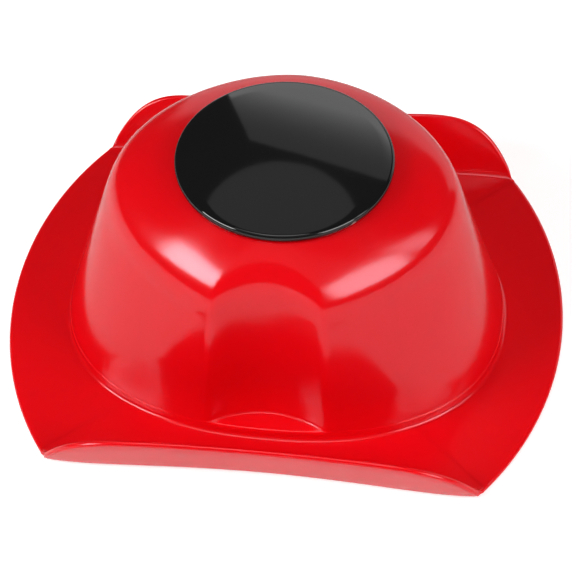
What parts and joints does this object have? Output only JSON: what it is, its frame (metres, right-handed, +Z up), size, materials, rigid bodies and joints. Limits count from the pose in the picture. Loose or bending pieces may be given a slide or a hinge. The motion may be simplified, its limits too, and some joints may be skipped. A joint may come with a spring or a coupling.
{
  "type": "slicer hand guard",
  "caption": "Hat-shaped slicer hand guard with a wide brim, raised front and back lips, a hollowed grip crown and a sliding food pusher under a round press cap.",
  "frame": {"origin": "on the surface the brim stands on, under the axis of the pusher", "axes": "+X along the straight lips, +Y towards the back lip, +Z up along the pusher's stem"},
  "size_m": [0.15, 0.1298, 0.0609],
  "materials": {
    "red_plastic": "glossy red moulding",
    "black_plastic": "polished black",
    "white_plastic": "satin white, food grade",
    "steel": "drawn stainless steel"
  },
  "bodies": {
    "hat": {"hat_shell": "red_plastic", "prong_ring": "white_plastic", "prong_1": "steel", "prong_2": "steel", "prong_3": "steel", "prong_4": "steel", "prong_5": "steel", "prong_6": "steel", "prong_7": "steel", "prong_8": "steel", "ring_screw_1": "steel", "ring_screw_2": "steel", "ring_screw_3": "steel", "ring_screw_4": "steel"},
    "pusher": {"press_cap": "black_plastic", "pusher_stem": "white_plastic", "pusher_plate": "white_plastic", "pusher_screw": "steel"}
  },
  "joints": [
    {"name": "pusher_slide", "type": "slide", "parent": "hat", "child": "pusher", "axis": [0, 0, 1], "range_m": [0, 0.0365]}
  ]
}
